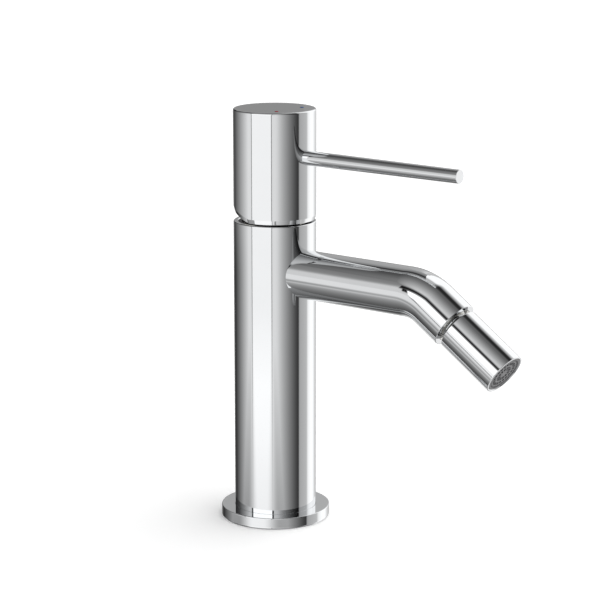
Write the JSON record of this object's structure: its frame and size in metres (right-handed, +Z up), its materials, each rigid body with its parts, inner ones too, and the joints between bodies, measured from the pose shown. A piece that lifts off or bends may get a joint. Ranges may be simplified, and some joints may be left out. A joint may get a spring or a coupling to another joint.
{
  "type": "bidet mixer",
  "caption": "Slim round single-lever bidet mixer with a rod lever, a bent spout and a swivelling ball-jointed nozzle.",
  "frame": {"origin": "on the body's axis, on the plane of the deck that the flange stands on", "axes": "+Z up along the body's axis, +X towards the user along the spout and lever, +Y to the cold side"},
  "size_m": [0.1457, 0.0466, 0.1776],
  "materials": {
    "chrome_body": "polished chrome plate",
    "chrome_head": "polished chrome plate",
    "chrome_lever": "polished chrome plate",
    "chrome_spout": "polished chrome plate",
    "chrome_nozzle": "polished chrome plate",
    "chrome_ball": "polished chrome plate",
    "brass_cast": "machined brass",
    "nickel_plate": "nickel plated brass",
    "brass_tube": "drawn brass",
    "steel_pin": "ground stainless steel",
    "steel_screen": "fine stainless screen",
    "ceramic_disc": "lapped alumina",
    "plastic_black": "moulded black acetal",
    "plastic_white": "moulded white acetal",
    "plastic_grey": "moulded dark grey plastic",
    "rubber_seal": "soft black rubber",
    "index_red": "red enamel",
    "index_blue": "blue enamel"
  },
  "bodies": {
    "fixed_body": {"base_flange": "chrome_body", "flange_seal": "rubber_seal", "body_shell": "chrome_body", "inlet_block": "brass_cast", "hot_supply_tube": "brass_tube", "cold_supply_tube": "brass_tube", "cartridge_cup": "brass_cast", "cartridge_base": "plastic_white", "inlet_seals": "rubber_seal", "fixed_disc": "ceramic_disc", "cartridge_housing": "plastic_grey", "housing_o_ring": "rubber_seal", "retaining_nut": "nickel_plate", "cover_ring": "plastic_black", "spout_tube": "chrome_spout", "spout_nipple": "brass_tube", "spout_end_bush": "nickel_plate", "nipple_washer": "rubber_seal", "ball_nipple": "chrome_ball"},
    "guide": {"spindle_guide": "plastic_white", "pivot_pin": "steel_pin", "turn_stop_ring": "plastic_black"},
    "valve_disc": {"moving_disc": "ceramic_disc", "disc_driver": "plastic_white"},
    "handle": {"spindle": "brass_cast", "handle_head": "chrome_head", "lever_rod": "chrome_lever", "grub_screw": "steel_pin", "screw_cap": "chrome_head", "hot_dot": "index_red", "cold_dot": "index_blue"},
    "liner": {"ball_liner": "plastic_black"},
    "ball_seal": {"ball_o_ring": "rubber_seal"},
    "nozzle": {"seat_ring": "plastic_grey", "nozzle_sleeve": "chrome_nozzle", "aerator_washer": "rubber_seal", "aerator_housing": "plastic_grey", "aerator_honeycomb": "plastic_grey", "aerator_screens": "steel_screen", "jet_former": "plastic_white", "flow_regulator": "plastic_black"}
  },
  "joints": [
    {"name": "handle_turn", "type": "hinge", "parent": "fixed_body", "child": "guide", "pos_m": [0, 0, 0.133], "axis": [0, 0, 1], "range_deg": [-45, 45]},
    {"name": "handle_lift", "type": "hinge", "parent": "guide", "child": "handle", "pos_m": [0, 0, 0.133], "axis": [0, -1, 0], "range_deg": [0, 17.5]},
    {"name": "disc_slide", "type": "slide", "parent": "guide", "child": "valve_disc", "axis": [1, 0, 0], "range_m": [0, 0.00421]},
    {"name": "nozzle_pitch", "type": "hinge", "parent": "fixed_body", "child": "liner", "pos_m": [0.09691, 0, 0.09502], "axis": [0, -1, 0], "range_deg": [-9, 9]},
    {"name": "nozzle_yaw", "type": "hinge", "parent": "liner", "child": "ball_seal", "pos_m": [0.09691, 0, 0.09502], "axis": [0.5606, 0, 0.8281], "range_deg": [-9, 9]},
    {"name": "nozzle_spin", "type": "hinge", "parent": "ball_seal", "child": "nozzle", "pos_m": [0.09691, 0, 0.09502], "axis": [0.8281, 0, -0.5606], "continuous": true}
  ],
  "couplings": [
    {"joint": "disc_slide", "follows": "handle_lift", "m_per_rad": 0.013783}
  ]
}
